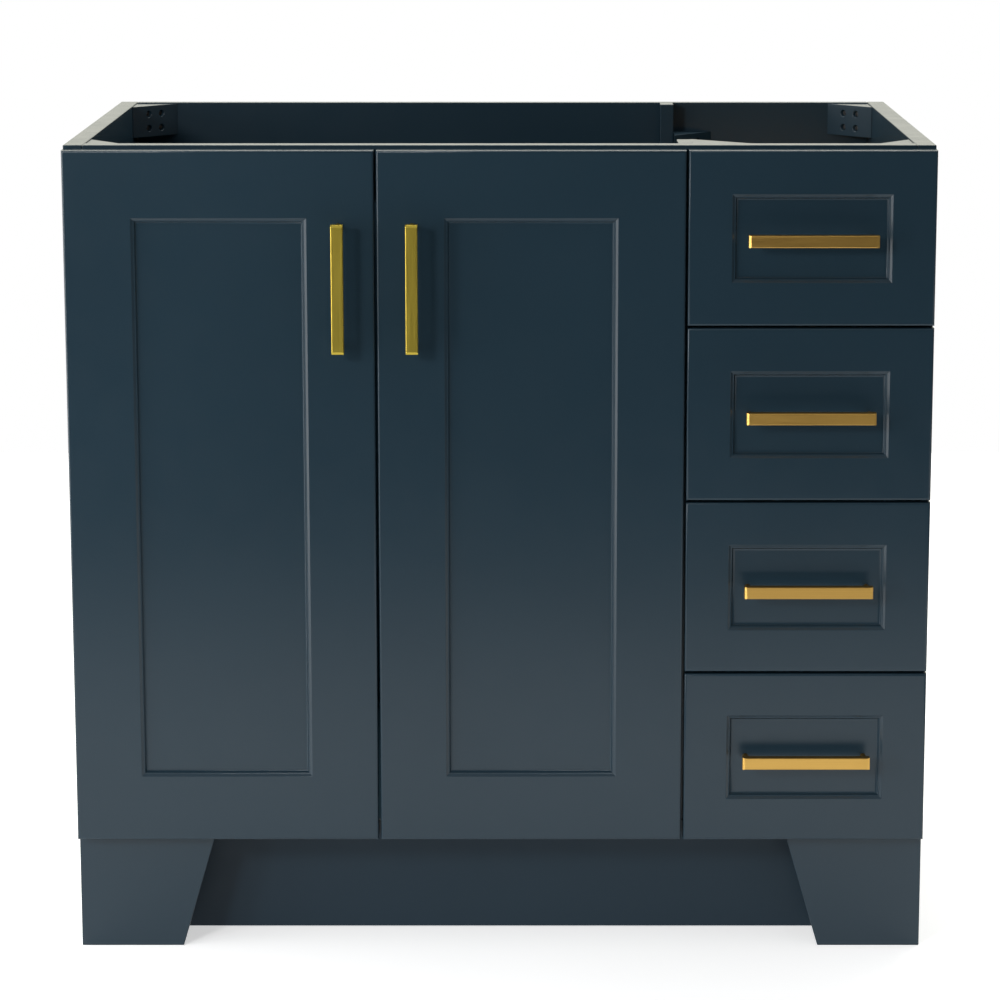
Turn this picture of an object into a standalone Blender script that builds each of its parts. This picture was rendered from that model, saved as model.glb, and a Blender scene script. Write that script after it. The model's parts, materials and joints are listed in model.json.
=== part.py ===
"""Bathroom vanity cabinet: two hinged doors, four drawers, open top, splayed front feet.

Metres, +Z up, front facing -Y, origin on the floor under the middle of the overall box.
"""
import math

import bmesh
import bpy
from mathutils import Vector

for old in list(bpy.data.objects):
    bpy.data.objects.remove(old, do_unlink=True)

# ---------------------------------------------------------------- driving dimensions
WIDTH = 0.9144            # over the side panels (36 in)
HEIGHT = 0.8763           # floor to the top edges (34.5 in)
CARCASS_DEPTH = 0.525     # side panels, front edge to rear edge
FRONT_GAP = 0.002         # air between the carcass and the closed fronts
FRONT_THICK = 0.019       # doors and drawer fronts
PULL_REACH = 0.032        # pull face in front of the door face
JOINT_GAP = 0.0003        # between touching pieces

SIDE_THICK = 0.020
PARTITION_THICK = 0.0155
PARTITION_X = 0.188       # left face of the partition
BOTTOM_THICK = 0.016
BACK_THICK = 0.012
TOP_RAIL_THICK = 0.020
TOP_RAIL_HEIGHT = 0.060
FOOT_HEIGHT = 0.127
FOOT_TOP = 0.148          # width of a front foot where it meets the carcass
FOOT_TOE = 0.111          # width of a front foot on the floor
FOOT_THICK = 0.020
KICK_SETBACK = 0.062
KICK_THICK = 0.018
KICK_CLEAR = 0.001        # under the toe kick

FRONT_TOP_DROP = 0.0036   # top of the fronts under the carcass top
FRONT_BOTTOM = 0.1268
REVEAL = 0.0024           # gap between neighbouring fronts
FRONT_EDGE = 0.0005       # fronts stop this far inside the carcass sides
DOOR_SPLIT = -0.1301      # middle of the gap between the doors
BAY_SPLIT = 0.1961        # middle of the gap between door and drawers
DOOR_RAIL = 0.0705        # frame width round a door's recess
DRAWER_RAIL = 0.0455      # frame width round a drawer's recess
RECESS_STEPS = ((0.0, 0.0), (0.0012, 0.0004), (0.0024, 0.0016), (0.0032, 0.0019),
                (0.0050, 0.0046), (0.0070, 0.0054))   # inset and depth of the moulding
EASE = 0.0014             # eased front edges

PULL_LENGTH = 0.1358
PULL_WIDTH = 0.0127
PULL_BAR = 0.0100         # bar thickness
PULL_BEVEL = 0.0024       # bevel across the bar's front ends
PULL_CHAMFER = 0.0013     # bevel along its sides
PULL_POST = 0.0030        # post radius
POST_INSET = 0.0046       # post centre from the bar's end
DOOR_PULL_INSET = 0.0375  # pull centre from the door's free edge
DOOR_PULL_Z = 0.7305

HINGE_FROM_END = 0.095    # hinge centre from a door's top and bottom
CUP_RADIUS = 0.0175
CUP_DEPTH = 0.0113
CUP_FROM_EDGE = 0.0225

BOX_WALL = 0.012
BOX_HEIGHT = 0.100
BOX_LENGTH = 0.450
BOX_ABOVE_EDGE = 0.022    # box bottom over its front's bottom edge
BOX_BOTTOM_THICK = 0.006
BOX_GROOVE = 0.006
SLIDE_SPACE = 0.0127      # each side of a drawer box
SLIDE_LENGTH = 0.450
SLIDE_HEIGHT = 0.045
SLIDE_START = 0.002       # behind the carcass front

REAR_BLOCK = (0.048, 0.048)        # legs along X and Y
FRONT_BLOCK = (0.046, 0.056)
BAY_FRONT_BLOCK = (0.080, 0.060)
BAY_REAR_BLOCK = (0.046, 0.048)
BLOCK_HEIGHT = 0.0365
BLOCK_DROP = 0.0014
BAY_BLOCK_DROP = 0.0345
NOTCH_DEPTH = 0.085
NOTCH_FRONT = 0.063
NOTCH_REAR = 0.027
NOTCH_RADIUS = 0.018

# ---------------------------------------------------------------- derived
OVERALL_DEPTH = CARCASS_DEPTH + FRONT_GAP + FRONT_THICK + PULL_REACH
Y0 = -OVERALL_DEPTH / 2 + FRONT_GAP + FRONT_THICK + PULL_REACH   # carcass front plane
Y_REAR = Y0 + CARCASS_DEPTH
Y_FRONT_BACK = Y0 - FRONT_GAP
Y_FACE = Y_FRONT_BACK - FRONT_THICK
XH = WIDTH / 2
X_IN = XH - SIDE_THICK
FRONT_TOP = HEIGHT - FRONT_TOP_DROP
Y_BACK_IN = Y_REAR - BACK_THICK
BAY_L = PARTITION_X + PARTITION_THICK
G = JOINT_GAP


# ---------------------------------------------------------------- materials
def material(name, rgb, roughness, metallic=0.0):
    m = bpy.data.materials.new(name)
    m.use_nodes = True
    p = m.node_tree.nodes["Principled BSDF"]
    p.inputs["Base Color"].default_value = (*rgb, 1.0)
    p.inputs["Roughness"].default_value = roughness
    p.inputs["Metallic"].default_value = metallic
    m.diffuse_color = (*rgb, 1.0)
    return m


def navy(name):
    return material(name + "_paint", (0.016, 0.032, 0.045), 0.38)


def birch(name):
    return material(name + "_birch", (0.62, 0.47, 0.30), 0.5)


def gold(name):
    return material(name + "_gold", (0.52, 0.36, 0.10), 0.28, 1.0)


def steel(name):
    return material(name + "_steel", (0.62, 0.62, 0.62), 0.3, 1.0)


# ---------------------------------------------------------------- building blocks
def add(name, bm, mat, origin, parent=None):
    """Turn a bmesh in world coordinates into an object standing at its own origin."""
    bmesh.ops.remove_doubles(bm, verts=bm.verts, dist=1e-6)
    bmesh.ops.recalc_face_normals(bm, faces=bm.faces)
    origin = Vector(origin)
    bmesh.ops.translate(bm, verts=bm.verts, vec=-origin)
    me = bpy.data.meshes.new(name)
    bm.to_mesh(me)
    bm.free()
    me.materials.append(mat)
    ob = bpy.data.objects.new(name, me)
    bpy.context.scene.collection.objects.link(ob)
    if parent:
        ob.parent = parent
        ob.location = origin - parent.location
    else:
        ob.location = origin
    return ob


def rings(loops, closed=False, bm=None):
    """Skin a row of equal loops; the ends are capped, or joined when the row is closed."""
    bm = bm or bmesh.new()
    rows = [[bm.verts.new(p) for p in loop] for loop in loops]
    pairs = list(zip(rows, rows[1:])) + ([(rows[-1], rows[0])] if closed else [])
    n = len(rows[0])
    for a, b in pairs:
        for i in range(n):
            bm.faces.new((a[i], a[(i + 1) % n], b[(i + 1) % n], b[i]))
    if not closed:
        bm.faces.new(rows[0])
        bm.faces.new(rows[-1])
    return bm


def prism(axis, outline, lo, hi):
    """Extrude an outline along X, Y or Z. The outline holds the other two coordinates in order."""
    def put(p, t):
        return {"x": (t, p[0], p[1]), "y": (p[0], t, p[1]), "z": (p[0], p[1], t)}[axis]
    return rings([[put(p, lo) for p in outline], [put(p, hi) for p in outline]])


def board(x0, x1, y0, y1, z0, z1):
    return prism("z", [(x0, y0), (x1, y0), (x1, y1), (x0, y1)], z0, z1)


def rect_y(x0, x1, z0, z1, y, inset=0.0):
    return [(x0 + inset, y, z0 + inset), (x1 - inset, y, z0 + inset),
            (x1 - inset, y, z1 - inset), (x0 + inset, y, z1 - inset)]


def rect_z(x0, x1, y0, y1, z, inset=0.0):
    return [(x0 + inset, y0 + inset, z), (x1 - inset, y0 + inset, z),
            (x1 - inset, y1 - inset, z), (x0 + inset, y1 - inset, z)]


def turned(profile, centre, direction, steps):
    """A closed body turned about a line: profile holds (radius, distance along the line)."""
    d = Vector(direction).normalized()
    u = d.orthogonal().normalized()
    v = d.cross(u)
    c = Vector(centre)
    loops = [[c + d * t + (u * math.cos(a) + v * math.sin(a)) * r
              for a in (2 * math.pi * (k + 0.5) / steps for k in range(steps))]
             for r, t in profile]
    return rings(loops)


def combine(ob, tools, operation):
    """Cut, or add, bmeshes given in world coordinates, then keep the result as the object's mesh."""
    bpy.context.view_layer.update()
    for bm in tools:
        bmesh.ops.recalc_face_normals(bm, faces=bm.faces)
        bmesh.ops.transform(bm, matrix=ob.matrix_world.inverted(), verts=bm.verts)
        me = bpy.data.meshes.new("tool")
        bm.to_mesh(me)
        bm.free()
        tool = bpy.data.objects.new("tool", me)
        tool.hide_render = True
        tool.display_type = "WIRE"
        tool.matrix_world = ob.matrix_world
        bpy.context.scene.collection.objects.link(tool)
        mod = ob.modifiers.new("shape", "BOOLEAN")
        mod.operation = operation
        mod.solver = "EXACT"
        mod.object = tool
        bpy.context.view_layer.update()
        shaped = bpy.data.meshes.new_from_object(
            ob.evaluated_get(bpy.context.evaluated_depsgraph_get()))
        before = ob.data
        ob.modifiers.clear()
        shaped.name = ob.name
        ob.data = shaped
        bpy.data.meshes.remove(before)
        bpy.data.objects.remove(tool, do_unlink=True)
        bpy.data.meshes.remove(me)
    return ob


def empty(name, at):
    e = bpy.data.objects.new(name, None)
    e.location = at
    e.empty_display_size = 0.05
    bpy.context.scene.collection.objects.link(e)
    return e


# ---------------------------------------------------------------- carcass boards
def side_panel(name, sign):
    slope = FOOT_TOP - FOOT_TOE
    x_out, x_in = sign * XH, sign * X_IN
    outline = [
        (Y0, FOOT_HEIGHT + G), (Y0 + FOOT_THICK + G, FOOT_HEIGHT + G), (Y0 + FOOT_THICK + G, 0.0),
        (Y0 + FOOT_TOE, 0.0), (Y0 + FOOT_TOE + slope, FOOT_HEIGHT),
        (Y_REAR - FOOT_TOE - slope, FOOT_HEIGHT), (Y_REAR - FOOT_TOE, 0.0),
        (Y_REAR, 0.0), (Y_REAR, HEIGHT), (Y0, HEIGHT)]
    return add(name, prism("x", outline, min(x_out, x_in), max(x_out, x_in)), navy(name),
               (sign * (XH + X_IN) / 2, (Y0 + Y_REAR) / 2, 0.0))


def front_foot(name, sign):
    outline = [(sign * XH, 0.0), (sign * (XH - FOOT_TOE), 0.0),
               (sign * (XH - FOOT_TOP), FOOT_HEIGHT), (sign * XH, FOOT_HEIGHT)]
    return add(name, prism("y", outline, Y0, Y0 + FOOT_THICK), navy(name), (sign * XH, Y0, 0.0))


def partition():
    a, b = Y0 + NOTCH_FRONT, Y_BACK_IN - G - NOTCH_REAR
    floor_z = HEIGHT - NOTCH_DEPTH
    r = NOTCH_RADIUS

    def corner(cy, cz, start):
        return [(cy + r * math.cos(t), cz + r * math.sin(t))
                for t in (start + math.radians(90) * k / 4 for k in range(5))]
    notch = corner(b - r, floor_z + r, math.radians(-90))[::-1]        # rear corner, top to bottom
    notch += corner(a + r, floor_z + r, math.radians(180))[::-1]       # front corner, bottom to top
    base = FOOT_HEIGHT + 2 * G + BOTTOM_THICK
    rail_z = HEIGHT - TOP_RAIL_HEIGHT - G
    outline = [(Y0, base), (Y_BACK_IN - G, base), (Y_BACK_IN - G, HEIGHT), (b, HEIGHT)]
    outline += notch
    outline += [(a, HEIGHT), (Y0 + TOP_RAIL_THICK + G, HEIGHT), (Y0 + TOP_RAIL_THICK + G, rail_z), (Y0, rail_z)]
    return add("partition_panel", prism("x", outline, PARTITION_X, BAY_L), navy("partition_panel"),
               (PARTITION_X, Y0, base))


side_panel("side_panel_left", -1)
side_panel("side_panel_right", 1)
front_foot("front_foot_left", -1)
front_foot("front_foot_right", 1)
partition()

add("bottom_panel",
    board(-X_IN + G, X_IN - G, Y0, Y_BACK_IN - G, FOOT_HEIGHT + G, FOOT_HEIGHT + G + BOTTOM_THICK),
    navy("bottom_panel"), (0.0, Y0, FOOT_HEIGHT))

add("back_panel",
    board(-X_IN + G, X_IN - G, Y_BACK_IN, Y_REAR, FOOT_HEIGHT + G, HEIGHT),
    navy("back_panel"), (0.0, Y_REAR, FOOT_HEIGHT))

add("front_top_rail",
    board(-X_IN + G, X_IN - G, Y0, Y0 + TOP_RAIL_THICK, HEIGHT - TOP_RAIL_HEIGHT, HEIGHT),
    navy("front_top_rail"), (0.0, Y0, HEIGHT))

add("toe_kick_board",
    board(-X_IN + G, X_IN - G, Y0 + KICK_SETBACK, Y0 + KICK_SETBACK + KICK_THICK, KICK_CLEAR, FOOT_HEIGHT),
    navy("toe_kick_board"), (0.0, Y0 + KICK_SETBACK, 0.0))


# ---------------------------------------------------------------- corner blocks
def corner_block(name, cx, cy, dx, dy, legs, drop, holes):
    """Triangular glue block in a corner at (cx, cy), its legs running along dx and dy."""
    top = HEIGHT - drop
    cx, cy = cx + dx * G, cy + dy * G
    outline = [(cx, cy), (cx + dx * legs[0], cy), (cx, cy + dy * legs[1])]
    ob = add(name, prism("z", outline, top - BLOCK_HEIGHT, top), navy(name), (cx, cy, top))
    if holes:
        face = Vector((cx + dx * legs[0] / 2, cy + dy * legs[1] / 2, top - BLOCK_HEIGHT / 2))
        out = Vector((dx * legs[1], dy * legs[0], 0)).normalized()
        along = Vector((-out.y, out.x, 0))
        cutters = []
        for i in (-1, 1):
            for k in (-1, 1):
                at = face + along * (i * 0.0095) + Vector((0, 0, k * 0.0083))
                cutters.append(turned([(0.0046, 0.002), (0.0042, 0.0), (0.0022, -0.0030), (0.0022, -0.0200)],
                                      at, out, 12))
        combine(ob, cutters, "DIFFERENCE")
    return ob


corner_block("corner_block_front_left", -X_IN, Y0 + TOP_RAIL_THICK, 1, 1, FRONT_BLOCK, BLOCK_DROP, False)
corner_block("corner_block_front_right", X_IN, Y0 + TOP_RAIL_THICK, -1, 1, FRONT_BLOCK, BLOCK_DROP, False)
corner_block("corner_block_rear_left", -X_IN, Y_BACK_IN, 1, -1, REAR_BLOCK, BLOCK_DROP, True)
corner_block("corner_block_rear_right", X_IN, Y_BACK_IN, -1, -1, REAR_BLOCK, BLOCK_DROP, True)
corner_block("corner_block_bay_front", BAY_L, Y0 + TOP_RAIL_THICK, 1, 1, BAY_FRONT_BLOCK, BLOCK_DROP, False)
corner_block("corner_block_bay_rear", BAY_L, Y_BACK_IN, 1, -1, BAY_REAR_BLOCK, BAY_BLOCK_DROP, True)


# ---------------------------------------------------------------- doors
def framed_front(name, x0, x1, z0, z1, rail, parent, origin):
    """A one-piece front with a moulded recess and eased front edges."""
    loops = [rect_y(x0, x1, z0, z1, Y_FRONT_BACK),
             rect_y(x0, x1, z0, z1, Y_FACE + EASE),
             rect_y(x0, x1, z0, z1, Y_FACE + EASE * 0.3, EASE * 0.3),
             rect_y(x0, x1, z0, z1, Y_FACE, EASE)]
    loops += [rect_y(x0, x1, z0, z1, Y_FACE + d, rail + i) for i, d in RECESS_STEPS]
    return add(name, rings(loops), navy(name), origin, parent)


def pull(name, centre, seat, vertical, parent):
    """A bar pull: a solid bar on two round posts that stand on the surface at y = seat."""
    half, reach, r, t, c, w = (PULL_LENGTH / 2, PULL_REACH, PULL_BEVEL, PULL_BAR, PULL_CHAMFER, PULL_WIDTH / 2)

    def outline(shrink):
        e, f, b = half - shrink, reach - shrink, reach - t + shrink
        rr = r - shrink * 0.58
        right = [(e, b), (e, f - rr), (e - rr, f)]
        return right + [(-u, v) for u, v in right[::-1]]

    cx, cz = centre

    def put(p, s):
        u, v = p
        y = seat - v
        return (cx + s, y, cz + u) if vertical else (cx + u, y, cz + s)
    loops = [[put(p, s) for p in outline(k)] for s, k in ((-w, c), (-w + c, 0.0), (w - c, 0.0), (w, c))]
    ob = add(name, rings(loops), gold(name), (cx, seat, cz), parent)
    posts = [turned([(PULL_POST, G), (PULL_POST, reach - t + 0.001)], put((s * (half - POST_INSET), 0.0), 0.0),
                    (0, -1, 0), 16) for s in (-1, 1)]
    return combine(ob, posts, "UNION")


def hinge_cup(name, x, z, parent):
    """Concealed-hinge cup: a pressed cup under a winged flange."""
    back = Y_FRONT_BACK
    ob = add(name, turned([(CUP_RADIUS, -CUP_DEPTH), (CUP_RADIUS, 0.0011)], (x, back, z), (0, 1, 0), 24),
             steel(name), (x, back, z), parent)
    flange = board(x - 0.009, x + 0.009, back + G, back + 0.0011, z - 0.029, z + 0.029)
    combine(ob, [flange], "UNION")
    combine(ob, [turned([(CUP_RADIUS - 0.0012, -CUP_DEPTH + 0.0012), (CUP_RADIUS - 0.0012, 0.004)],
                        (x, back, z), (0, 1, 0), 24)], "DIFFERENCE")
    return ob


def hinge_arm(name, wall_x, sign, z):
    """Concealed-hinge arm on its wing plate, fixed to a wall that faces sign * X."""
    def px(d):
        return wall_x + sign * d
    profile = [(G, 0.022), (G, 0.066), (0.0090, 0.066), (0.0130, 0.056), (0.0130, 0.024), (0.0180, 0.014),
               (0.0180, 0.003), (0.0100, 0.003), (0.0080, 0.013)]
    ob = add(name, prism("z", [(px(d), Y0 + y) for d, y in profile], z - 0.007, z + 0.007), steel(name),
             (wall_x, Y0 + 0.037, z))
    lo, hi = sorted((px(G), px(0.0025)))
    return combine(ob, [board(lo, hi, Y0 + 0.030, Y0 + 0.052, z - 0.026, z + 0.026)], "UNION")


def door(side, x0, x1, hinge_x, pull_x, wall_x, wall_sign):
    axis = empty("hinge_axis_" + side, (hinge_x, Y_FACE, (FRONT_BOTTOM + FRONT_TOP) / 2))
    leaf = framed_front("door_" + side, x0, x1, FRONT_BOTTOM, FRONT_TOP, DOOR_RAIL, axis, axis.location)
    inward = 1 if hinge_x < (x0 + x1) / 2 else -1
    cup_x = hinge_x + inward * CUP_FROM_EDGE
    for level, z in (("upper", FRONT_TOP - HINGE_FROM_END), ("lower", FRONT_BOTTOM + HINGE_FROM_END)):
        bore = turned([(CUP_RADIUS + G, -CUP_DEPTH - G), (CUP_RADIUS + G, 0.004)], (cup_x, Y_FRONT_BACK, z),
                      (0, 1, 0), 24)
        combine(leaf, [bore], "DIFFERENCE")
        hinge_cup("hinge_cup_%s_%s" % (side, level), cup_x, z, axis)
        hinge_arm("hinge_arm_%s_%s" % (side, level), wall_x, wall_sign, z)
    pull("pull_door_" + side, (pull_x, DOOR_PULL_Z), Y_FACE, True, axis)


LEFT_EDGE, RIGHT_EDGE = -XH + FRONT_EDGE, XH - FRONT_EDGE
door("left", LEFT_EDGE, DOOR_SPLIT - REVEAL / 2, LEFT_EDGE,
     DOOR_SPLIT - REVEAL / 2 - DOOR_PULL_INSET, -X_IN, 1)
door("right", DOOR_SPLIT + REVEAL / 2, BAY_SPLIT - REVEAL / 2, BAY_SPLIT - REVEAL / 2,
     DOOR_SPLIT + REVEAL / 2 + DOOR_PULL_INSET, PARTITION_X, -1)


# ---------------------------------------------------------------- drawers
def channel(wall_x, sign, z, depth, half, gauge):
    """C-shaped slide member: its web on the wall, its lips standing off along sign * X."""
    def px(d):
        return wall_x + sign * d
    outline = [(px(0), z - half), (px(depth), z - half), (px(depth), z - half + gauge), (px(gauge), z - half + gauge),
               (px(gauge), z + half - gauge), (px(depth), z + half - gauge), (px(depth), z + half), (px(0), z + half)]
    return prism("y", outline, Y0 + SLIDE_START, Y0 + SLIDE_START + SLIDE_LENGTH)


def drawer(number, z0, z1):
    x0, x1 = BAY_SPLIT + REVEAL / 2, RIGHT_EDGE
    carrier = empty("slide_axis_%d" % number, ((BAY_L + X_IN) / 2, Y_FACE, z0))
    framed_front("drawer_front_%d" % number, x0, x1, z0, z1, DRAWER_RAIL, carrier,
                 ((x0 + x1) / 2, Y_FACE, (z0 + z1) / 2))
    pull("pull_drawer_%d" % number, ((x0 + x1) / 2, (z0 + z1) / 2), Y_FACE + RECESS_STEPS[-1][1], False, carrier)

    bx0, bx1 = BAY_L + SLIDE_SPACE, X_IN - SLIDE_SPACE
    by0 = Y_FRONT_BACK + G
    by1 = by0 + BOX_LENGTH
    bz0 = z0 + BOX_ABOVE_EDGE
    bz1 = bz0 + BOX_HEIGHT
    gz0 = bz0 + 0.010
    gz1 = gz0 + BOX_BOTTOM_THICK + 2 * G
    w, g = BOX_WALL, BOX_WALL - BOX_GROOVE
    box = [rect_z(bx0, bx1, by0, by1, bz0), rect_z(bx0, bx1, by0, by1, bz1),
           rect_z(bx0, bx1, by0, by1, bz1, w), rect_z(bx0, bx1, by0, by1, gz1, w),
           rect_z(bx0, bx1, by0, by1, gz1, g), rect_z(bx0, bx1, by0, by1, gz0, g),
           rect_z(bx0, bx1, by0, by1, gz0, w), rect_z(bx0, bx1, by0, by1, bz0, w)]
    name = "drawer_box_%d" % number
    add(name, rings(box, closed=True), birch(name), ((bx0 + bx1) / 2, by0, bz0), carrier)
    name = "drawer_bottom_%d" % number
    k = g + G
    add(name, board(bx0 + k, bx1 - k, by0 + k, by1 - k, gz0 + G, gz1 - G), birch(name),
        ((bx0 + bx1) / 2, by0, gz0), carrier)

    sz = bz0 + BOX_HEIGHT * 0.42
    for side, wall, sign, box_x in (("left", BAY_L, 1, bx0), ("right", X_IN, -1, bx1)):
        name = "slide_rail_%d_%s" % (number, side)
        add(name, channel(wall + sign * G, sign, sz, 0.0095, SLIDE_HEIGHT / 2, 0.0015), steel(name),
            (wall, Y0 + SLIDE_START, sz))
        name = "slide_runner_%d_%s" % (number, side)
        add(name, channel(box_x - sign * G, -sign, sz, 0.0095, SLIDE_HEIGHT / 2 - 0.004, 0.0015), steel(name),
            (box_x, Y0 + SLIDE_START, sz), carrier)


pitch = (FRONT_TOP - FRONT_BOTTOM + REVEAL) / 4
for n in range(4):
    top = FRONT_TOP - n * pitch
    drawer(n + 1, top - pitch + REVEAL, top)

bpy.context.view_layer.update()
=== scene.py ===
import json
import math

import bmesh
import bpy
from mathutils import Matrix, Vector

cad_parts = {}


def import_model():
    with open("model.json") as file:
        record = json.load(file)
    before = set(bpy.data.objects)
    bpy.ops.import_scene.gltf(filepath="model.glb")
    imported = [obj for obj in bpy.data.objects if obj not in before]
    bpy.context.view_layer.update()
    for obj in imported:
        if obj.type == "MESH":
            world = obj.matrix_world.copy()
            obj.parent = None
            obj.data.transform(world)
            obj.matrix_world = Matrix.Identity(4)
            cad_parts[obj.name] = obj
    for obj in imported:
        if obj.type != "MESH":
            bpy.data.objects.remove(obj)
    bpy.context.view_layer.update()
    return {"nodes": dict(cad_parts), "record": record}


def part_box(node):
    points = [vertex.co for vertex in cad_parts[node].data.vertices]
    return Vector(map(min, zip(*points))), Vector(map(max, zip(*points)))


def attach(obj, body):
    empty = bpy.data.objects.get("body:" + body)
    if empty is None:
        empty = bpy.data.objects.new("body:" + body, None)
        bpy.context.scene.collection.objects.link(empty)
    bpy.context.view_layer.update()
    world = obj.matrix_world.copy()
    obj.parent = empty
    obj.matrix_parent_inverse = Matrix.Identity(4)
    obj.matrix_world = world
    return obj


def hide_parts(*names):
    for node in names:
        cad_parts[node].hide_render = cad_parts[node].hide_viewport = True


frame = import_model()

nodes = frame["nodes"]
body_of_node = {n: b for b, ns in frame["record"]["behaviour"]["bodies"].items() for n in ns}
scene = bpy.context.scene
scene.view_settings.view_transform = "Standard"
scene.view_settings.look = "None"

CARCASS_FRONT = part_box("side_panel_left")[0].y
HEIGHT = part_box("side_panel_left")[1].z
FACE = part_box("door_left")[0].y
FACE_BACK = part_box("door_left")[1].y

# ------------------------------------------------------------------ camera: slightly right of centre, looking down on the open top
F_PX, PITCH = 3350.9, math.radians(10.55)
cam_data = bpy.data.cameras.new("camera")
cam_data.sensor_width = 36.0
cam_data.lens = F_PX * 36.0 / 1000.0
cam_data.shift_x = -0.0219
cam_data.shift_y = -0.070
cam_data.clip_start, cam_data.clip_end = 0.1, 60.0
cam = bpy.data.objects.new("camera", cam_data)
cam.location = (0.0233, CARCASS_FRONT - 3.5, HEIGHT + 0.3488)
cam.rotation_euler = (math.pi / 2 - PITCH, 0.0, 0.0)
scene.collection.objects.link(cam)
scene.camera = cam


# ------------------------------------------------------------------ node helpers
class Tree:
    """A material's node tree with short calls for the nodes used here."""

    def __init__(self, name):
        self.m = bpy.data.materials.new(name)
        self.m.use_nodes = True
        self.t = self.m.node_tree
        self.t.nodes.clear()
        self.out = self.t.nodes.new("ShaderNodeOutputMaterial")
        self.p = self.t.nodes.new("ShaderNodeBsdfPrincipled")
        self.link(self.p.outputs["BSDF"], self.out.inputs["Surface"])
        self.obj = self.t.nodes.new("ShaderNodeTexCoord").outputs["Object"]

    def link(self, a, b):
        self.t.links.new(a, b)

    def feed(self, socket, value):
        if hasattr(value, "links"):
            self.link(value, socket)
        else:
            socket.default_value = value

    def mapped(self, scale=(1, 1, 1), rotation=(0, 0, 0), source=None):
        n = self.t.nodes.new("ShaderNodeMapping")
        n.inputs["Scale"].default_value = scale
        n.inputs["Rotation"].default_value = rotation
        self.link(source or self.obj, n.inputs["Vector"])
        return n.outputs["Vector"]

    def noise(self, scale, detail=2.0, rough=0.5, vector=None, distortion=0.0):
        n = self.t.nodes.new("ShaderNodeTexNoise")
        n.inputs["Scale"].default_value = scale
        n.inputs["Detail"].default_value = detail
        n.inputs["Roughness"].default_value = rough
        n.inputs["Distortion"].default_value = distortion
        self.link(vector or self.obj, n.inputs["Vector"])
        return n.outputs["Fac"]

    def ramp(self, fac, stops):
        n = self.t.nodes.new("ShaderNodeValToRGB")
        els = n.color_ramp.elements
        while len(els) < len(stops):
            els.new(0.5)
        for e, (pos, col) in zip(els, stops):
            e.position = pos
            e.color = col if len(col) == 4 else (*col, 1.0)
        self.link(fac, n.inputs["Fac"])
        return n.outputs["Color"]

    def remap(self, fac, lo, hi, a=0.0, b=1.0):
        n = self.t.nodes.new("ShaderNodeMapRange")
        n.inputs["From Min"].default_value = a
        n.inputs["From Max"].default_value = b
        n.inputs["To Min"].default_value = lo
        n.inputs["To Max"].default_value = hi
        self.link(fac, n.inputs["Value"])
        return n.outputs["Result"]

    def math(self, op, a, b=0.0, c=0.0):
        n = self.t.nodes.new("ShaderNodeMath")
        n.operation = op
        for s, v in zip(n.inputs, (a, b, c)):
            self.feed(s, v)
        return n.outputs["Value"]

    def mix(self, fac, a, b, kind="MIX"):
        n = self.t.nodes.new("ShaderNodeMix")
        n.data_type = "RGBA"
        n.blend_type = kind
        self.feed(n.inputs["Factor"], fac)
        for s, v in ((n.inputs[6], a), (n.inputs[7], b)):
            if hasattr(v, "links"):
                self.link(v, s)
            else:
                s.default_value = v if len(v) == 4 else (*v, 1.0)
        return n.outputs[2]

    def bump(self, height, strength, distance, normal=None):
        n = self.t.nodes.new("ShaderNodeBump")
        n.inputs["Strength"].default_value = strength
        n.inputs["Distance"].default_value = distance
        self.link(height, n.inputs["Height"])
        if normal:
            self.link(normal, n.inputs["Normal"])
        return n.outputs["Normal"]


def paint(name, dark, light, rough=(0.235, 0.265), ior=1.44):
    """Sprayed satin paint: slow colour drift, fine orange peel and faint gloss changes."""
    t = Tree(name)
    drift = t.noise(2.2, 3.0)
    t.link(t.ramp(drift, [(0.30, dark), (0.70, light)]), t.p.inputs["Base Color"])
    cloud = t.noise(38.0, 3.0)
    t.link(t.remap(cloud, rough[0], rough[1], 0.3, 0.7), t.p.inputs["Roughness"])
    peel = t.noise(420.0, 1.0)
    wave = t.noise(55.0, 0.0)
    n = t.bump(wave, 0.02, 0.0003)
    n = t.bump(peel, 0.02, 0.00003, n)
    t.link(n, t.p.inputs["Normal"])
    t.p.inputs["IOR"].default_value = ior
    return t.m


def gold(name, along, pale, deep):
    """Satin gold plating brushed along the bar."""
    t = Tree(name)
    scale = [900.0, 900.0, 900.0]
    scale["xyz".index(along)] = 14.0
    streak = t.noise(1.0, 3.0, 0.6, t.mapped(scale))
    tone = t.noise(14.0, 2.0)
    base = t.ramp(tone, [(0.3, [v * 0.96 for v in pale]), (0.7, pale)])
    t.link(t.mix(t.remap(streak, 0.0, 0.35, 0.35, 0.75), base, deep), t.p.inputs["Base Color"])
    t.p.inputs["Metallic"].default_value = 1.0
    t.link(t.remap(streak, 0.33, 0.43, 0.3, 0.7), t.p.inputs["Roughness"])
    t.link(t.bump(streak, 0.10, 0.000012), t.p.inputs["Normal"])
    return t.m


def steel(name, along="y", tone=0.62, rough=(0.24, 0.36)):
    """Bright zinc on rolled steel, with faint rolling lines and cloudy plating."""
    t = Tree(name)
    scale = [700.0, 700.0, 700.0]
    scale["xyz".index(along)] = 9.0
    lines = t.noise(1.0, 2.0, 0.5, t.mapped(scale))
    cloud = t.noise(60.0, 3.0)
    t.link(t.ramp(cloud, [(0.3, (tone * 0.88, tone * 0.90, tone * 0.93)), (0.7, (tone, tone, tone * 0.99))]),
           t.p.inputs["Base Color"])
    t.p.inputs["Metallic"].default_value = 1.0
    t.link(t.remap(lines, rough[0], rough[1], 0.3, 0.7), t.p.inputs["Roughness"])
    t.link(t.bump(lines, 0.08, 0.00004), t.p.inputs["Normal"])
    return t.m


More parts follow.
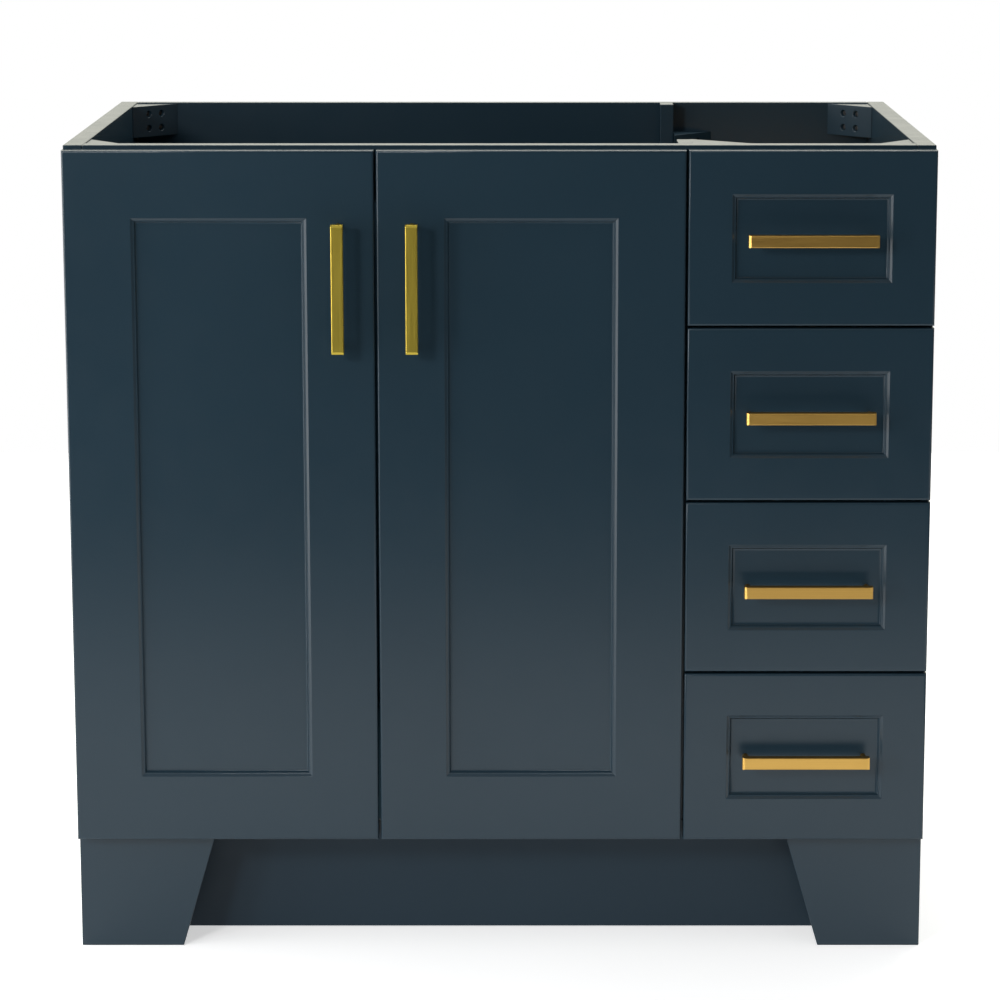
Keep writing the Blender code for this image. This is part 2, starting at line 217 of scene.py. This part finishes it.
def birch(name, grain, through):
    """Lacquered birch plywood: long grain with pores and figure, and its layers on the cut edges."""
    t = Tree(name)
    scale = [42.0, 42.0, 42.0]
    scale["xyz".index(grain)] = 2.2
    v = t.mapped(scale)
    figure = t.noise(1.0, 5.0, 0.62, v, 0.35)
    base = t.ramp(figure, [(0.28, (0.47, 0.315, 0.170)), (0.5, (0.60, 0.435, 0.255)), (0.75, (0.70, 0.54, 0.345))])
    scale = [900.0, 900.0, 900.0]
    scale["xyz".index(grain)] = 26.0
    pores = t.noise(1.0, 2.0, 0.5, t.mapped(scale))
    col = t.mix(t.remap(pores, 0.0, 0.35, 0.56, 0.72), base, (0.33, 0.20, 0.10))
    xyz = t.t.nodes.new("ShaderNodeSeparateXYZ")
    t.link(t.obj, xyz.inputs[0])
    layer = t.math("PINGPONG", t.math("MULTIPLY", xyz.outputs["XYZ".index(through.upper())], 1.0), 0.0013)
    t.link(t.mix(t.remap(layer, 0.0, 0.55, 0.00055, 0.00075), col, (0.36, 0.215, 0.105)), t.p.inputs["Base Color"])
    t.link(t.remap(figure, 0.36, 0.48), t.p.inputs["Roughness"])
    t.link(t.bump(pores, 0.15, 0.00015), t.p.inputs["Normal"])
    return t.m


NAVY = paint("navy_satin_paint", (0.0122, 0.0284, 0.0424), (0.0147, 0.0326, 0.0482))
# Darker, rougher copy of the navy paint for the toe kick: the darker colour is painted shade for the recess under the
# fronts; the higher roughness is the finish itself.
NAVY_MATT_SHADED = paint("navy_matt_paint", (0.0100, 0.0235, 0.0370), (0.0120, 0.0275, 0.0420), (0.36, 0.44), 1.34)
# The upright bars get a darker, more olive copy of the gold as painted shade for the dark surroundings they reflect;
# the level bars keep the lighter copy.
GOLD_Z_SHADED = gold("satin_gold_upright", "z", (0.61, 0.475, 0.074), (0.49, 0.375, 0.052))
GOLD_X = gold("satin_gold_level", "x", (0.70, 0.430, 0.115), (0.58, 0.345, 0.085))
STEEL_Y = steel("zinc_steel_rolled", "y")
STEEL_Z = steel("zinc_steel_pressed", "z", 0.68, (0.20, 0.30))
# Near-black screw steel: its dark tone is painted shade inside the holes of the rear blocks.
SCREW_STEEL_SHADED = steel("blacked_screw_steel", "z", 0.06, (0.25, 0.38))
PLY_SIDE, PLY_END, PLY_FLAT = birch("birch_ply_side", "y", "x"), birch("birch_ply_end", "x", "y"), birch("birch_ply_flat", "x", "z")


# ------------------------------------------------------------------ mesh helpers
def put(name, bm, mat, body, replaced=(), sharp=35.0):
    me = bpy.data.meshes.new(name)
    bmesh.ops.recalc_face_normals(bm, faces=bm.faces)
    bm.to_mesh(me)
    bm.free()
    me.materials.append(mat)
    me.shade_smooth()
    me.set_sharp_from_angle(angle=math.radians(sharp))
    ob = bpy.data.objects.new(name, me)
    scene.collection.objects.link(ob)
    w = ob.modifiers.new("weighted", "WEIGHTED_NORMAL")
    w.keep_sharp = True
    w.weight = 100
    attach(ob, body)
    if replaced:
        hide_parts(*replaced)
    return ob


def from_node(node):
    bm = bmesh.new()
    bm.from_mesh(nodes[node].data)
    bmesh.ops.remove_doubles(bm, verts=bm.verts, dist=2e-6)
    bmesh.ops.dissolve_limit(bm, angle_limit=math.radians(0.6), verts=bm.verts, edges=bm.edges)
    return bm


def ease(bm, width, segments=3, angle=50.0):
    edges = [e for e in bm.edges if len(e.link_faces) == 2 and e.calc_face_angle() > math.radians(angle)]
    bmesh.ops.bevel(bm, geom=edges, offset=width, offset_type="OFFSET", segments=segments, profile=0.5,
                    affect="EDGES", clamp_overlap=True)
    return bm


def finished(node, mat, width=0.0007, segments=3, angle=50.0, suffix="_finished"):
    """A CAD piece with its edges eased and its final surface."""
    return put(node + suffix, ease(from_node(node), width, segments, angle), mat, body_of_node[node], (node,))


def rings(loops, closed=False, bm=None):
    """Skin a row of equal loops; the ends are capped, or joined when the row is closed."""
    bm = bm or bmesh.new()
    rows = [[bm.verts.new(p) for p in loop] for loop in loops]
    pairs = list(zip(rows, rows[1:])) + ([(rows[-1], rows[0])] if closed else [])
    n = len(rows[0])
    for a, b in pairs:
        for i in range(n):
            bm.faces.new((a[i], a[(i + 1) % n], b[(i + 1) % n], b[i]))
    if not closed:
        bm.faces.new(rows[0])
        bm.faces.new(rows[-1])
    return bm


def turned(profile, centre, direction, steps, bm=None):
    """A closed body turned about a line: profile holds (radius, distance along the line)."""
    d = Vector(direction).normalized()
    u = d.orthogonal().normalized()
    v = d.cross(u)
    c = Vector(centre)
    return rings([[c + d * t + (u * math.cos(k) + v * math.sin(k)) * r
                   for k in (2 * math.pi * (i + 0.5) / steps for i in range(steps))] for r, t in profile], bm=bm)


def block(x0, x1, y0, y1, z0, z1, bm=None):
    return rings([[(x0, y0, z), (x1, y0, z), (x1, y1, z), (x0, y1, z)] for z in (z0, z1)], bm=bm)


def boolean(bm, cutters, operation="DIFFERENCE"):
    """bm cut by, or joined with, each of the cutters."""
    def obj(b, name):
        bmesh.ops.recalc_face_normals(b, faces=b.faces)
        me = bpy.data.meshes.new(name)
        b.to_mesh(me)
        b.free()
        o = bpy.data.objects.new(name, me)
        scene.collection.objects.link(o)
        return o
    base = obj(bm, "cut_base")
    for cutter in cutters:
        tool = obj(cutter, "cut_tool")
        mod = base.modifiers.new("cut", "BOOLEAN")
        mod.operation = operation
        mod.solver = "EXACT"
        mod.object = tool
        bpy.context.view_layer.update()
        me = bpy.data.meshes.new_from_object(base.evaluated_get(bpy.context.evaluated_depsgraph_get()))
        base.modifiers.clear()
        old, base.data = base.data, me
        bpy.data.meshes.remove(old)
        tool_me = tool.data
        bpy.data.objects.remove(tool, do_unlink=True)
        bpy.data.meshes.remove(tool_me)
    out = bmesh.new()
    out.from_mesh(base.data)
    me = base.data
    bpy.data.objects.remove(base, do_unlink=True)
    bpy.data.meshes.remove(me)
    return out


def screw_template(head, height, pan=True):
    """A cross-recessed screw head, its rim on z = 0 and its top at +z."""
    if pan:
        prof = [(head * 0.55, -0.0006), (head * 0.97, 0.0), (head, height * 0.30), (head * 0.93, height * 0.62),
                (head * 0.74, height * 0.87), (head * 0.45, height)]
    else:
        prof = [(head * 0.35, -height), (head * 0.96, -0.0002), (head, 0.0), (head * 0.9, 0.0002)]
    bm = turned(prof, (0, 0, 0), (0, 0, 1), 20)
    top = height if pan else 0.0002
    deep = height * 0.75 if pan else height * 0.6
    w, l = head * 0.11, head * 0.52
    cross = [(w, l), (-w, l), (-w, w), (-l, w), (-l, -w), (-w, -w), (-w, -l), (w, -l), (w, -w), (l, -w), (l, w), (w, w)]
    tool = rings([[(x * 0.55, y * 0.55, top - deep) for x, y in cross], [(x * 1.05, y * 1.05, top + 0.0003) for x, y in cross]])
    bm = boolean(bm, [tool])
    me = bpy.data.meshes.new("screw_template")
    bm.to_mesh(me)
    bm.free()
    return me


PAN, SUNK = screw_template(0.0036, 0.0020), screw_template(0.0036, 0.0018, False)
CAPHEAD = screw_template(0.0042, 0.0022)


def stamp(bm, template, at, direction, turn=0.0, size=1.0):
    """Add a copy of a template to bm, its axis along direction."""
    part = bmesh.new()
    part.from_mesh(template)
    q = Vector((0, 0, 1)).rotation_difference(Vector(direction))
    bmesh.ops.scale(part, vec=(size, size, size), verts=part.verts)
    bmesh.ops.rotate(part, matrix=Matrix.Rotation(turn, 3, "Z"), verts=part.verts)
    bmesh.ops.rotate(part, matrix=q.to_matrix(), verts=part.verts)
    bmesh.ops.translate(part, vec=Vector(at), verts=part.verts)
    me = bpy.data.meshes.new("stamp")
    part.to_mesh(me)
    part.free()
    bm.from_mesh(me)
    bpy.data.meshes.remove(me)
    return bm


# ------------------------------------------------------------------ carcass
for node in nodes:
    if node.startswith(("side_panel", "partition", "bottom_panel", "back_panel", "front_top_rail", "toe_kick",
                        "front_foot")):
        # the toe kick takes the darker navy copy, its colour darkened as painted shade
        finished(node, NAVY_MATT_SHADED if node == "toe_kick_board" else NAVY, 0.0009)
    elif node.startswith("corner_block"):
        finished(node, NAVY, 0.0005)

# screws sunk in the holes of the three rear blocks, coloured near-black as painted shade inside the holes
for node, sx in (("corner_block_rear_left", 1), ("corner_block_rear_right", -1), ("corner_block_bay_rear", 1)):
    lo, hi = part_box(node)
    corner = Vector((lo.x if sx > 0 else hi.x, hi.y, 0))
    lx, ly = hi.x - lo.x, hi.y - lo.y
    face = Vector((corner.x + sx * lx / 2, corner.y - ly / 2, (lo.z + hi.z) / 2))
    out = Vector((sx * ly, -lx, 0)).normalized()
    along = Vector((-out.y, out.x, 0))
    bm = bmesh.new()
    k = 0
    for i in (-1, 1):
        for j in (-1, 1):
            k += 1
            stamp(bm, SUNK, face + along * (i * 0.0095) + Vector((0, 0, j * 0.0083)) - out * 0.0024, out, 0.7 * k, 0.66)
    put(node + "_screws", bm, SCREW_STEEL_SHADED, "cabinet", sharp=30)


# ------------------------------------------------------------------ doors and drawer fronts
EDGE_R = 0.0026
MOULDING = [(0.0, 0.0), (0.00025, 0.00006), (0.0005, 0.00022), (0.0027, 0.00190), (0.0029, 0.00203), (0.0031, 0.00209),
            (0.0035, 0.00211), (0.0037, 0.00219), (0.0039, 0.00238), (0.0052, 0.00455), (0.0054, 0.00480), (0.0057, 0.00503),
            (0.0062, 0.00522), (0.0070, 0.00534), (0.0080, 0.00540)]


def front(node, rail, bores=()):
    lo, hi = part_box(node)
    x0, x1, z0, z1 = lo.x, hi.x, lo.z, hi.z

    def loop(y, inset):
        return [(x0 + inset, y, z0 + inset), (x1 - inset, y, z0 + inset), (x1 - inset, y, z1 - inset), (x0 + inset, y, z1 - inset)]
    loops = [loop(hi.y, 0.0006), loop(hi.y - 0.00018, 0.00018), loop(hi.y - 0.0006, 0.0)]
    for k in range(7):
        a = math.radians(90) * k / 6
        loops.append(loop(lo.y + EDGE_R * (1 - math.sin(a)), EDGE_R * (1 - math.cos(a))))
    loops += [loop(lo.y + d, rail + i) for i, d in MOULDING]
    bm = rings(loops)
    if bores:
        bm = boolean(bm, [turned([(r, -depth), (r, 0.004)], at, (0, 1, 0), 48) for at, r, depth in bores])
    return put(node + "_painted", bm, NAVY, body_of_node[node], (node,), sharp=42)


def pull(node, vertical):
    """Solid bar, bevelled across its front ends and along its sides, on two slim round posts."""
    lo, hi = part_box(node)
    cx, cz = (lo.x + hi.x) / 2, (lo.z + hi.z) / 2
    half = ((hi.z - lo.z) if vertical else (hi.x - lo.x)) / 2
    w = ((hi.x - lo.x) if vertical else (hi.z - lo.z)) / 2
    seat, reach, thick, run, fall, c, soft = hi.y, hi.y - lo.y, 0.0100, 0.0024, 0.0014, 0.0006, 0.00018

    def outline(s):
        low, top = Vector((half, reach - fall)), Vector((half - run * (1 - s / fall), reach - s))
        k = (top - low).normalized() * soft
        right = [(half - soft, reach - thick + s), (half, reach - thick + s + soft), (low.x, low.y - soft), tuple(low + k),
                 tuple(top - k), (top.x - soft, top.y)]
        return right + [(-u, v) for u, v in right[::-1]]

    def at(p, s):
        u, v = p
        return (cx + s, seat - v, cz + u) if vertical else (cx + u, seat - v, cz + s)
    k = soft * 0.7
    rows = [(-w, c + soft), (-w + k, c - k), (-w + c - k, k), (-w + c + soft, 0.0)]
    rows += [(-s, d) for s, d in rows[::-1]]
    bm = rings([[at(p, s) for p in outline(d)] for s, d in rows])
    for s in (-1, 1):
        base = at((s * (half - 0.0046), 0.0), 0.0)
        turned([(0.0030, 0.00005), (0.0030, reach - thick - 0.0008), (0.0033, reach - thick - 0.0002),
                (0.0030, reach - thick + 0.0015)], base, (0, -1, 0), 32, bm)
    # upright bars take the darker gold copy, which is painted shade
    return put(node + "_bar", bm, GOLD_Z_SHADED if vertical else GOLD_X, body_of_node[node], (node,), sharp=14)


def screws(name, body, places, direction, template=None, size=1.0):
    bm = bmesh.new()
    for k, p in enumerate(places):
        stamp(bm, template or PAN, p, direction, 0.9 * k + 0.3, size)
    return put(name, bm, STEEL_Z, body, sharp=30)


def hinge_cup(node):
    """Pressed steel cup: rolled flange with two wings, screws, and the knuckle inside the cup."""
    lo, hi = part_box(node)
    cx, cz = (lo.x + hi.x) / 2, (lo.z + hi.z) / 2
    top, r = hi.y, 0.0175
    prof = [(r * 0.90, -0.0113), (r * 0.97, -0.0110), (r - 0.0001, -0.0100), (r - 0.0001, -0.0006), (r - 0.0001, 0.0004), (r - 0.0003, 0.0010),
            (r - 0.0007, 0.0011), (r - 0.0013, 0.0010), (r - 0.0018, 0.0004), (r - 0.0020, -0.0010), (r - 0.0020, -0.0090), (r - 0.0030, -0.0100)]
    base = Vector((cx, top - 0.0011, cz))
    bm = turned(prof, base, (0, 1, 0), 48)
    wing = bmesh.new()
    pts = []
    for s in (1, -1):
        for k in range(7):
            a = math.radians(180 * k / 6) if s > 0 else math.radians(180 + 180 * k / 6)
            pts.append((cx + 0.0088 * math.cos(a) , cz + s * 0.0202 + 0.0088 * math.sin(a)))
    rings([[(x, base.y + 0.0003, z) for x, z in pts], [(x, base.y + 0.0009, z) for x, z in pts],
           [(cx + (x - cx) * 0.965, base.y + 0.0011, cz + (z - cz) * 0.985) for x, z in pts]], bm=wing)
    inner = turned([(r - 0.0019, -0.0095), (r - 0.0019, 0.004)], base, (0, 1, 0), 48)
    wing = boolean(wing, [inner])
    me = bpy.data.meshes.new("wing")
    wing.to_mesh(me)
    wing.free()
    bm.from_mesh(me)
    bpy.data.meshes.remove(me)
    # knuckle pressed into the cup floor, with its pivot pin
    block(cx - 0.0050, cx + 0.0050, base.y - 0.0098, base.y - 0.0030, cz - 0.0062, cz + 0.0062, bm)
    turned([(0.0010, -0.0085), (0.0013, -0.0080), (0.0013, 0.0080), (0.0010, 0.0085)],
           (cx, base.y - 0.0042, cz), (0, 0, 1), 16, bm)
    for s in (-1, 1):
        stamp(bm, SUNK, (cx, base.y + 0.0012, cz + s * 0.0225), (0, 1, 0), 0.4 * s, 0.9)
    return put(node + "_pressed", bm, STEEL_Z, body_of_node[node], (node,), sharp=32)


def hinge_arm(node):
    """Hinge arm on its winged plate, with plate screws and two adjusting screws."""
    lo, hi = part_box(node)
    bm = ease(from_node(node), 0.0006, 3, 30.0)
    left = "left" in node
    wall, sign = (lo.x, 1) if left else (hi.x, -1)
    zc, y0 = (lo.z + hi.z) / 2, lo.y - 0.003
    for s in (-1, 1):
        stamp(bm, PAN, (wall + sign * 0.0023, y0 + 0.041, zc + s * 0.0185), (sign, 0, 0), 0.5 * s)
    for y in (0.032, 0.048):
        stamp(bm, PAN, (wall + sign * 0.0127, y0 + y, zc), (sign, 0, 0), 0.3, 0.92)
    return put(node + "_pressed", bm, STEEL_Z, "cabinet", (node,), sharp=32)


def channel_of(node):
    bm = ease(from_node(node), 0.00055, 3, 50.0)
    return put(node + "_rolled", bm, STEEL_Y, body_of_node[node], (node,), sharp=35)


for side in ("left", "right"):
    bores = []
    for level in ("upper", "lower"):
        lo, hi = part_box("hinge_cup_%s_%s" % (side, level))
        bores.append((((lo.x + hi.x) / 2, FACE_BACK, (lo.z + hi.z) / 2), 0.0178, 0.0116))
        hinge_cup("hinge_cup_%s_%s" % (side, level))
        hinge_arm("hinge_arm_%s_%s" % (side, level))
    front("door_" + side, 0.0705, bores)
    pull("pull_door_" + side, True)
    lo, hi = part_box("pull_door_" + side)
    screws("pull_screws_door_" + side, "door_%s_leaf" % side,
           [((lo.x + hi.x) / 2, FACE_BACK, (lo.z + hi.z) / 2 + s * 0.064) for s in (-1, 1)], (0, 1, 0), CAPHEAD)

for n in range(1, 5):
    front("drawer_front_%d" % n, 0.0455)
    pull("pull_drawer_%d" % n, False)
    body = "drawer_%d" % n
    lo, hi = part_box("drawer_box_%d" % n)
    wall, groove = 0.012, 0.006
    # four boards, the sides running past the ends, each with the groove that holds the bottom
    for name, x0, x1, inward, mat in (("side_left", lo.x, lo.x + wall, 1, PLY_SIDE), ("side_right", hi.x - wall, hi.x, -1, PLY_SIDE)):
        xf, xg = (x1, x1 - groove) if inward > 0 else (x0, x0 + groove)
        xo = x0 if inward > 0 else x1
        outline = [(xo, lo.z), (xf, lo.z), (xf, lo.z + 0.010), (xg, lo.z + 0.010), (xg, lo.z + 0.0166), (xf, lo.z + 0.0166),
                   (xf, hi.z), (xo, hi.z)]
        bm = rings([[(x, y, z) for x, z in outline] for y in (lo.y, hi.y)])
        put("drawer_%d_%s" % (n, name), ease(bm, 0.0007, 2, 60.0), mat, body, ("drawer_box_%d" % n,) if inward > 0 else ())
    for name, y0, y1, inward in (("end_front", lo.y, lo.y + wall, 1), ("end_rear", hi.y - wall, hi.y, -1)):
        yf, yg = (y1, y1 - groove) if inward > 0 else (y0, y0 + groove)
        yo = y0 if inward > 0 else y1
        outline = [(yo, lo.z), (yf, lo.z), (yf, lo.z + 0.010), (yg, lo.z + 0.010), (yg, lo.z + 0.0166), (yf, lo.z + 0.0166),
                   (yf, hi.z), (yo, hi.z)]
        bm = rings([[(x, y, z) for y, z in outline] for x in (lo.x + wall + 0.0001, hi.x - wall - 0.0001)])
        put("drawer_%d_%s" % (n, name), ease(bm, 0.0007, 2, 60.0), PLY_END, body)
    finished("drawer_bottom_%d" % n, PLY_FLAT, 0.0003, 2)
    plo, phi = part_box("pull_drawer_%d" % n)
    zc = (plo.z + phi.z) / 2
    screws("pull_screws_drawer_%d" % n, body, [((plo.x + phi.x) / 2 + s * 0.064, lo.y + wall, zc) for s in (-1, 1)], (0, 1, 0), CAPHEAD)
    screws("front_screws_drawer_%d" % n, body,
           [((lo.x + hi.x) / 2 + s * 0.086, lo.y + wall, zc + k * 0.022 - 0.004) for s in (-1, 1) for k in (-1, 1)], (0, 1, 0), PAN)
    for side, wall_sign in (("left", 1), ("right", -1)):
        rail = "slide_rail_%d_%s" % (n, side)
        channel_of(rail)
        channel_of("slide_runner_%d_%s" % (n, side))
        rlo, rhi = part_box(rail)
        web = (rlo.x + 0.0015) if wall_sign > 0 else (rhi.x - 0.0015)
        screws("slide_screws_%d_%s" % (n, side), "cabinet",
               [(web, rlo.y + d, (rlo.z + rhi.z) / 2) for d in (0.035, 0.225, 0.415)], (wall_sign, 0, 0), PAN, 0.9)

# ------------------------------------------------------------------ floor and light
bm = bmesh.new()
FLOOR = (-3.2, 1.9, -1.80, 2.6)
rings([[(FLOOR[0], FLOOR[2], z), (FLOOR[1], FLOOR[2], z), (FLOOR[1], FLOOR[3], z), (FLOOR[0], FLOOR[3], z)] for z in (-0.02, 0.0)], bm=bm)
me = bpy.data.meshes.new("floor")
bmesh.ops.recalc_face_normals(bm, faces=bm.faces)
bm.to_mesh(me)
bm.free()
floor = bpy.data.objects.new("floor", me)
t = Tree("pale_floor")
t.link(t.ramp(t.noise(3.0, 2.0), [(0.3, (0.87, 0.875, 0.88)), (0.7, (0.89, 0.895, 0.90))]), t.p.inputs["Base Color"])
t.p.inputs["Roughness"].default_value = 0.8
t.p.inputs["Emission Color"].default_value = (1.0, 1.0, 1.0, 1.0)
t.p.inputs["Emission Strength"].default_value = 0.53
me.materials.append(t.m)
scene.collection.objects.link(floor)

world = bpy.data.worlds.new("studio")
scene.world = world
world.use_nodes = True
wt = world.node_tree
wt.nodes.clear()


def wnode(kind, **values):
    n = wt.nodes.new(kind)
    for k, v in values.items():
        setattr(n, k, v)
    return n


w_xyz = wnode("ShaderNodeSeparateXYZ")
wt.links.new(wnode("ShaderNodeTexCoord").outputs["Generated"], w_xyz.inputs[0])


def fade(axis, a, b, lo=0.0, hi=1.0):
    """A smooth step along one direction axis, from lo at a to hi at b."""
    n = wnode("ShaderNodeMapRange", interpolation_type="SMOOTHSTEP")
    if a > b:
        a, b, lo, hi = b, a, hi, lo
    for k, v in (("From Min", a), ("From Max", b), ("To Min", lo), ("To Max", hi)):
        n.inputs[k].default_value = v
    wt.links.new(w_xyz.outputs[axis], n.inputs["Value"])
    return n.outputs["Result"]


def wmath(op, a, b):
    n = wnode("ShaderNodeMath", operation=op)
    for sck, v in zip(n.inputs, (a, b)):
        if hasattr(v, "links"):
            wt.links.new(v, sck)
        else:
            sck.default_value = v
    return n.outputs["Value"]


dome = wmath("MULTIPLY", fade("Z", 0.30, 0.65, 0.0, 0.55), fade("Z", 0.98, 0.80, 0.25, 1.0))
behind = wmath("MULTIPLY", wmath("MULTIPLY", fade("Y", 0.30, 0.85, 0.0, 1.22), fade("Z", -0.12, 0.04)), fade("Z", 0.65, 0.35))
left = wmath("MULTIPLY", wmath("MULTIPLY", fade("X", -0.60, -0.92, 0.0, 1.2), fade("Z", -0.15, 0.05)), fade("Z", 0.75, 0.45))
right = wmath("MULTIPLY", wmath("MULTIPLY", fade("X", 0.60, 0.92, 0.0, 0.40), fade("Z", -0.15, 0.05)), fade("Z", 0.75, 0.45))
total = wmath("ADD", wmath("ADD", dome, wmath("ADD", left, right)), 0.01)
w_lit = wnode("ShaderNodeBackground")
w_lit.inputs["Color"].default_value = (0.98, 0.99, 1.0, 1)
wt.links.new(total, w_lit.inputs["Strength"])
w_back = wnode("ShaderNodeBackground")
w_back.inputs["Color"].default_value = (1.0, 0.98, 0.84, 1)
wt.links.new(behind, w_back.inputs["Strength"])
w_sum = wnode("ShaderNodeAddShader")
wt.links.new(w_lit.outputs[0], w_sum.inputs[0])
wt.links.new(w_back.outputs[0], w_sum.inputs[1])
w_seen = wnode("ShaderNodeBackground")
w_seen.inputs["Color"].default_value = (1, 1, 1, 1)
w_mix = wnode("ShaderNodeMixShader")
wt.links.new(wnode("ShaderNodeLightPath").outputs["Is Camera Ray"], w_mix.inputs["Fac"])
wt.links.new(w_sum.outputs[0], w_mix.inputs[1])
wt.links.new(w_seen.outputs[0], w_mix.inputs[2])
wt.links.new(w_mix.outputs[0], wnode("ShaderNodeOutputWorld").inputs["Surface"])


def softbox(name, at, target, size, watts, colour=(1, 1, 1), spread=math.pi, bounces=0):
    d = bpy.data.lights.new(name, "AREA")
    d.shape = "RECTANGLE"
    d.size, d.size_y = size
    d.energy = watts
    d.color = colour
    d.spread = spread
    d.cycles.max_bounces = bounces
    ob = bpy.data.objects.new(name, d)
    ob.location = at
    ob.rotation_euler = (Vector(target) - Vector(at)).to_track_quat("-Z", "Y").to_euler()
    ob.visible_camera = False
    scene.collection.objects.link(ob)
    return ob


softbox("key", (-1.75, -3.15, 1.75), (0.0, -0.2, 0.6), (0.55, 0.55), 45.0, (1.0, 0.99, 0.97))
softbox("overhead", (0.0, 0.9, 3.0), (0.0, 0.2, 0.0), (2.4, 1.2), 74.0, (1.0, 0.98, 0.90), bounces=2)
softbox("left_wall", (-2.3, -0.3, 0.65), (0.0, -0.3, 0.5), (2.4, 1.3), 30.0)
softbox("left_strip", (-2.05, -1.95, 0.70), (0.0, -0.25, 0.5), (0.30, 1.5), 16.0)
